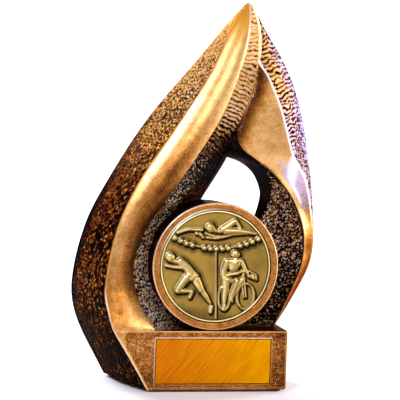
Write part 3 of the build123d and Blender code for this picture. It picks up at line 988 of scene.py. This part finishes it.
def rounded_outline(corners, radius, steps, spacing):
    """Points round an anticlockwise polygon with rounded corners."""
    count = len(corners)
    arcs = [corner_arc(corners[k - 1], corners[k], corners[(k + 1) % count], radius, steps)
            for k in range(count)]
    outline = []
    for arc, following in zip(arcs, arcs[1:] + arcs[:1]):
        run = following[0] - arc[-1]
        pieces = max(int(run.length / spacing), 1)
        outline += arc + [arc[-1] + run * piece / pieces for piece in range(1, pieces)]
    return outline


def felt_piece():
    """The felt sheet under the base, with its soft uneven cut edge; its size and its area."""
    corners = inset_corners([(LEFT_OUTER_FRONT[0][1], BASE_FRONT), (BASE_RIGHT_FRONT, BASE_FRONT),
                             (BASE_RIGHT_BACK, BASE_BACK), (LEFT_OUTER_BACK[0][1], BASE_BACK)],
                            FELT_INSET)
    points = np.array([tuple(p) for p in rounded_outline(corners, FELT_CORNER, 8, 0.8)])
    middle = points.mean(axis=0)
    bottom, top = felt_low[2] / MM, felt_high[2] / MM
    rows = [(share, bottom) for share in np.linspace(0.01, 0.985, 34)]
    rows += [(0.995, bottom + 0.12), (1.0, bottom + 0.35), (1.0, top - 0.3), (0.995, top - 0.05)]
    rows += [(share, top) for share in (0.98, 0.6, 0.01)]
    grid = np.array([np.column_stack([middle + (points - middle) * share,
                                      np.full(len(points), z)]) for share, z in rows])
    fuzz = noise(grid / (0.9, 0.9, 3.0), 81)
    edge = ramp(0.9, 1.0, np.array([share for share, z in rows])[:, None])
    outward = (points - middle) / np.linalg.norm(points - middle, axis=1)[:, None]
    grid[..., :2] += outward * (0.12 * fuzz * edge)[..., None]
    after = np.roll(points, -1, axis=0)
    area = 0.5 * abs(np.dot(points[:, 0], after[:, 1]) - np.dot(points[:, 1], after[:, 0]))
    mesh = tube_mesh("felt_sheet", grid, {})[0]
    mesh.shade_smooth()
    size = points.max(axis=0) - points.min(axis=0)
    return make_object("felt_sheet", mesh), size * MM, area * MM * MM


# ---- Materials ----

# The casting's colours, from bare dark wash to full paint.
COPPER_RAMP = [(0.0, (0.008, 0.005, 0.004)), (0.2, (0.045, 0.015, 0.006)),
               (0.45, (0.23, 0.075, 0.012)), (0.7, (0.52, 0.225, 0.052)),
               (1.0, (0.84, 0.52, 0.22))]
LILAC_REFLECTION = (0.60, 0.56, 0.9)
GLINT_WHITE = (0.96, 0.96, 1.0)
GLINT_GOLD = (0.95, 0.52, 0.19)
AMBER = (0.80, 0.36, 0.02)
BRUSH_SLANT = 50


class Nodes:
    """Builds one material's nodes."""

    def __init__(self, name):
        self.material = bpy.data.materials.new(name)
        self.material.use_nodes = True
        self.tree = self.material.node_tree
        self.shader = self.tree.nodes["Principled BSDF"]

    def put(self, socket, value):
        """Links a socket to another one, or gives it a plain value."""
        if isinstance(value, bpy.types.NodeSocket):
            self.tree.links.new(value, socket)
        else:
            socket.default_value = value

    def add(self, kind, inputs=None, **settings):
        node = self.tree.nodes.new("ShaderNode" + kind)
        for key, value in settings.items():
            setattr(node, key, value)
        for key, value in (inputs or {}).items():
            self.put(node.inputs[key], value)
        return node

    def math(self, operation, first, second=0.0, clamp=False):
        node = self.add("Math", {0: first, 1: second}, operation=operation, use_clamp=clamp)
        return node.outputs[0]

    def sum(self, first, second, clamp=False):
        return self.math("ADD", first, second, clamp)

    def times(self, first, second):
        return self.math("MULTIPLY", first, second)

    def layer(self, name):
        return self.add("Attribute", attribute_name=name).outputs["Fac"]

    def noise(self, scale, detail=3.0, roughness=0.5, vector=None):
        place = vector or self.add("TexCoord").outputs["Object"]
        node = self.add("TexNoise", {"Vector": place, "Scale": scale, "Detail": detail,
                                     "Roughness": roughness})
        return node.outputs["Fac"]

    def ramp(self, value, stops):
        node = self.add("ValToRGB", {"Fac": value})
        while len(node.color_ramp.elements) < len(stops):
            node.color_ramp.elements.new(0.5)
        for element, (place, colour) in zip(node.color_ramp.elements, stops):
            element.position = place
            element.color = (*colour, 1)
        return node.outputs["Color"]

    def mix(self, share, first, second):
        inputs = {"Factor": share}
        for key, value in ((6, first), (7, second)):
            inputs[key] = value if isinstance(value, bpy.types.NodeSocket) else (*value, 1)
        return self.add("Mix", inputs, data_type="RGBA").outputs[2]

    def map(self, value, low, high, to_low, to_high):
        node = self.add("MapRange", {0: value, 1: low, 2: high, 3: to_low, 4: to_high})
        return node.outputs[0]

    def set(self, **inputs):
        for key, value in inputs.items():
            self.put(self.shader.inputs[key.replace("_", " ")], value)

    def bump(self, height, strength, distance):
        node = self.add("Bump", {"Height": height, "Strength": strength, "Distance": distance})
        self.tree.links.new(node.outputs["Normal"], self.shader.inputs["Normal"])


def antique_copper():
    """Copper-gold paint rubbed over a dark antique ground that stays in the hollows, with painted
    shade, highlights, glints and a lilac reflection laid into its colour.
    """
    nodes = Nodes("antique_copper")
    relief, wash_and_shading, texture, lilac_reflection, amber_and_highlight, painted_highlight, glint = (nodes.layer(name) for name in LAYERS)
    grain = nodes.noise(2300, 1.0)
    fine = nodes.map(nodes.noise(1900, 1.0, 0.6), 0.36, 0.64, 0, 1)
    mottle = nodes.noise(260, 3.0, 0.6)
    height = nodes.sum(nodes.times(relief, 0.8), nodes.times(fine, 0.2))
    detail = nodes.times(nodes.map(height, 0, 1, -0.75, 0.75), texture)
    speckle = nodes.sum(nodes.map(grain, 0.3, 0.7, -0.14, 0.14),
                        nodes.map(mottle, 0.3, 0.7, -0.09, 0.09))
    speckle = nodes.times(speckle, nodes.map(wash_and_shading, 0.75, 1, 1, 0.1))
    level = nodes.sum(nodes.math("SUBTRACT", 1.0, wash_and_shading), speckle)
    paint = nodes.sum(level, detail, clamp=True)
    colour = nodes.ramp(paint, COPPER_RAMP)
    # a painted lilac reflection, amber paint and painted golden highlight, painted gold and silver
    # glints on dark ground, and painted highlights
    colour = nodes.mix(nodes.times(lilac_reflection, nodes.map(paint, 0.3, 0.75, 0, 0.75)), colour, LILAC_REFLECTION)
    colour = nodes.mix(nodes.times(amber_and_highlight, 0.85), colour, AMBER)
    painted_glint = nodes.sum(nodes.noise(1050, 1.0), nodes.map(glint, 0, 1.25, 0, 0.155))
    painted_glint = nodes.times(nodes.map(painted_glint, 0.69, 0.715, 0, 1), nodes.map(glint, 0.02, 0.1, 0, 1))
    painted_glint_colour = nodes.mix(nodes.map(nodes.noise(1100, 0.0), 0.44, 0.58, 0, 1), GLINT_GOLD, GLINT_WHITE)
    colour = nodes.mix(painted_glint, colour, painted_glint_colour)
    colour = nodes.mix(painted_highlight, colour, GLINT_WHITE)
    # painted places are duller than the metal-like ground
    tips = nodes.times(glint, nodes.map(relief, 0.4, 0.6, 0, 1))
    tips = nodes.times(tips, nodes.map(wash_and_shading, 0.5, 0.65, 0, 1))
    dull = nodes.math("MAXIMUM", painted_glint, painted_highlight, clamp=True)
    dull = nodes.math("MAXIMUM", dull, nodes.times(tips, 0.9))
    dull = nodes.math("MAXIMUM", dull, nodes.times(amber_and_highlight, 0.75))
    nodes.set(Base_Color=colour, Metallic=nodes.map(dull, 0, 1, 1, 0.2), Roughness=0.36,
              Specular_Tint=(0.3, 0.16, 0.1, 1), Coat_Weight=0.03, Coat_Roughness=0.15)
    bumps = nodes.times(fine, nodes.map(texture, 0, 1, 0.01, 0.5))
    nodes.bump(nodes.sum(bumps, nodes.times(grain, 0.03)), 1.0, 0.0008)
    return nodes.material


def gold_plate():
    """Orange-gold metal brushed along one slanting direction."""
    nodes = Nodes("brushed_gold")
    place = nodes.add("TexCoord").outputs["Object"]
    turned = nodes.add("Mapping", {"Vector": place, "Rotation": (0, math.radians(BRUSH_SLANT), 0)})
    drawn = nodes.add("Mapping", {"Vector": turned.outputs[0], "Scale": (90, 90, 2600)}).outputs[0]
    brushed = nodes.noise(1.0, 4.0, 0.6, drawn)
    lines = nodes.map(brushed, 0.35, 0.65, 0, 1)
    across = nodes.add("SeparateXYZ", {0: place}).outputs[0]
    colour = nodes.mix(lines, (0.50, 0.105, 0.003), (0.74, 0.24, 0.003))
    yellower = nodes.mix(lines, (0.62, 0.20, 0.001), (0.86, 0.38, 0.001))
    colour = nodes.mix(nodes.map(across, -0.02, 0.022, 0, 1), colour, yellower)
    nodes.set(Base_Color=colour, Metallic=1.0, Roughness=0.36, Specular_Tint=(1, 0.7, 0.2, 1))
    nodes.bump(brushed, 0.25, 0.0001)
    return nodes.material


def antique_brass():
    """Yellow brass, darkened in the corners round the struck figures, partly by painted shadow,
    with a painted highlight on the figures' upper-left slopes.
    """
    nodes = Nodes("antique_brass")
    patina_and_shade, raised_and_lit = nodes.layer("patina_and_shade"), nodes.layer("raised_and_lit")
    cloud = nodes.noise(150, 3.0, 0.6)
    grain = nodes.noise(2500, 2.0)
    stain_and_shade = nodes.sum(patina_and_shade, nodes.map(cloud, 0.35, 0.7, -0.05, 0.25), clamp=True)
    field = nodes.mix(stain_and_shade, (0.39, 0.235, 0.041), (0.010, 0.005, 0.002))
    colour = nodes.mix(nodes.map(raised_and_lit, 0.25, 1, 0, 0.85), field, (0.99, 0.87, 0.43))
    nodes.set(Base_Color=colour, Metallic=0.92, Roughness=nodes.map(stain_and_shade, 0, 1, 0.3, 0.5))
    nodes.bump(grain, 0.15, 0.0001)
    return nodes.material


def black_felt():
    """Matted black fibres."""
    nodes = Nodes("black_felt")
    place = nodes.add("TexCoord").outputs["Object"]
    matted = nodes.noise(900, 5.0, 0.75)
    fibres = nodes.add("TexVoronoi", {"Vector": place, "Scale": 1600.0, "Randomness": 1.0},
                       feature="F1").outputs["Distance"]
    pile = nodes.sum(matted, nodes.times(fibres, 0.4))
    colour = nodes.ramp(pile, [(0.35, (0.006, 0.006, 0.006)), (0.8, (0.035, 0.034, 0.033))])
    nodes.set(Base_Color=colour, Roughness=0.95, Sheen_Weight=0.4, Sheen_Roughness=0.5)
    nodes.bump(pile, 0.9, 0.0003)
    return nodes.material


def foam_tape(name, colour, scale):
    """A pale foam or film with fine pores."""
    nodes = Nodes(name)
    pores = nodes.noise(scale, 3.0, 0.7)
    shade = nodes.mix(nodes.map(pores, 0.35, 0.65, 0, 1), tuple(0.8 * c for c in colour), colour)
    nodes.set(Base_Color=shade, Roughness=0.75)
    nodes.bump(pores, 0.3, 0.0002)
    return nodes.material


def set_material(piece, material):
    piece.data.materials.clear()
    piece.data.materials.append(material)


def dress_node(name, material):
    """Gives a CAD node's object a material."""
    piece = bpy.data.objects[name]
    for index in range(max(len(piece.material_slots), 1)):
        if not piece.material_slots:
            piece.data.materials.append(material)
        piece.material_slots[index].material = material


# ---- The object ----

casting = flame_casting()
set_material(casting, antique_copper())
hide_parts("flame_casting")
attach(casting, "root")

medal = struck_medal()
set_material(medal, antique_brass())
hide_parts("medal_disc")
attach(medal, "root")

plate = plate_piece()
set_material(plate, gold_plate())
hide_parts("engraving_plate")
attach(plate, "root")

felt, felt_size, felt_area = felt_piece()
set_material(felt, black_felt())
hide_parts("base_felt")
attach(felt, "root")

dress_node("medal_adhesive_pad", foam_tape("foam_tape", (0.82, 0.82, 0.78), 900))
dress_node("plate_adhesive", foam_tape("adhesive_film", (0.78, 0.78, 0.72), 400))


# ---- Floor, light and camera ----

def plain(name, colour, roughness):
    nodes = Nodes(name)
    nodes.set(Base_Color=(*colour, 1), Roughness=roughness)
    return nodes.material


def studio_floor():
    """A pale floor that curves up behind the object."""
    half, depth, rise, bend = 2.5, 2.2, 2.5, 0.6
    side = [(-1.6, 0.0), (depth - bend, 0.0)]
    for k in range(1, 13):
        turn = math.pi / 2 * k / 12
        side.append((depth - bend + bend * math.sin(turn), bend * (1 - math.cos(turn))))
    side.append((depth, rise))
    points = [(x, y, z) for y, z in side for x in (-half, half)]
    faces = [(2 * k, 2 * k + 1, 2 * k + 3, 2 * k + 2) for k in range(len(side) - 1)]
    mesh = bpy.data.meshes.new("floor")
    mesh.from_pydata(points, [], faces)
    mesh.shade_smooth()
    floor = make_object("floor", mesh)
    set_material(floor, plain("pale_floor", (0.93, 0.93, 0.93), 0.9))


def area_light(name, place, target, size, power, colour=(1, 1, 1)):
    lamp = bpy.data.lights.new(name, "AREA")
    lamp.shape = "RECTANGLE"
    lamp.size, lamp.size_y = size
    lamp.energy = power
    lamp.color = colour
    light = bpy.data.objects.new(name, lamp)
    bpy.context.scene.collection.objects.link(light)
    light.location = place
    light.rotation_euler = (Vector(target) - Vector(place)).to_track_quat("-Z", "Y").to_euler()


def studio_light():
    world = bpy.data.worlds.new("studio")
    bpy.context.scene.world = world
    world.use_nodes = True
    background = world.node_tree.nodes["Background"]
    background.inputs["Color"].default_value = (1, 1, 1, 1)
    background.inputs["Strength"].default_value = 0.18
    area_light("key", (-0.5, -0.75, 0.7), (0, 0, 0.1), (0.22, 0.22), 6.9, (0.87, 0.809, 1))
    area_light("fill", (0.25, -1.0, 0.45), (0, 0, 0.08), (0.5, 0.4), 3.5)
    area_light("rim", (0.8, 0.38, 0.3), (0, 0, 0.1), (0.3, 0.5), 8, (0.84, 0.8, 1))
    area_light("edge", (-0.5, 0.76, 0.68), (0, 0, 0.12), (0.3, 0.3), 11)
    area_light("side", (0.9, -0.3, 0.25), (0, 0, 0.1), (0.15, 0.3), 3.5)
    area_light("backdrop", (0, 1.0, 1.6), (0, 2.2, 0.6), (2.0, 0.8), 45)


def camera():
    azimuth, elevation, roll = (math.radians(angle) for angle in (-12, 4.5, 2.034))
    distance, target = 0.8, Vector((-0.00294, 0, 0.08457))
    back = Vector((math.sin(azimuth) * math.cos(elevation),
                   -math.cos(azimuth) * math.cos(elevation), math.sin(elevation)))
    lens = bpy.data.cameras.new("camera")
    lens.lens, lens.sensor_width = 157.34, 36
    view = bpy.data.objects.new("camera", lens)
    bpy.context.scene.collection.objects.link(view)
    level = (-back).to_track_quat("-Z", "Y").to_matrix().to_4x4()
    view.matrix_world = (Matrix.Translation(target + back * distance) @ level
                         @ Matrix.Rotation(roll, 4, "Z"))
    bpy.context.scene.camera = view


studio_floor()
studio_light()
camera()
bpy.context.scene.view_settings.view_transform = "Standard"
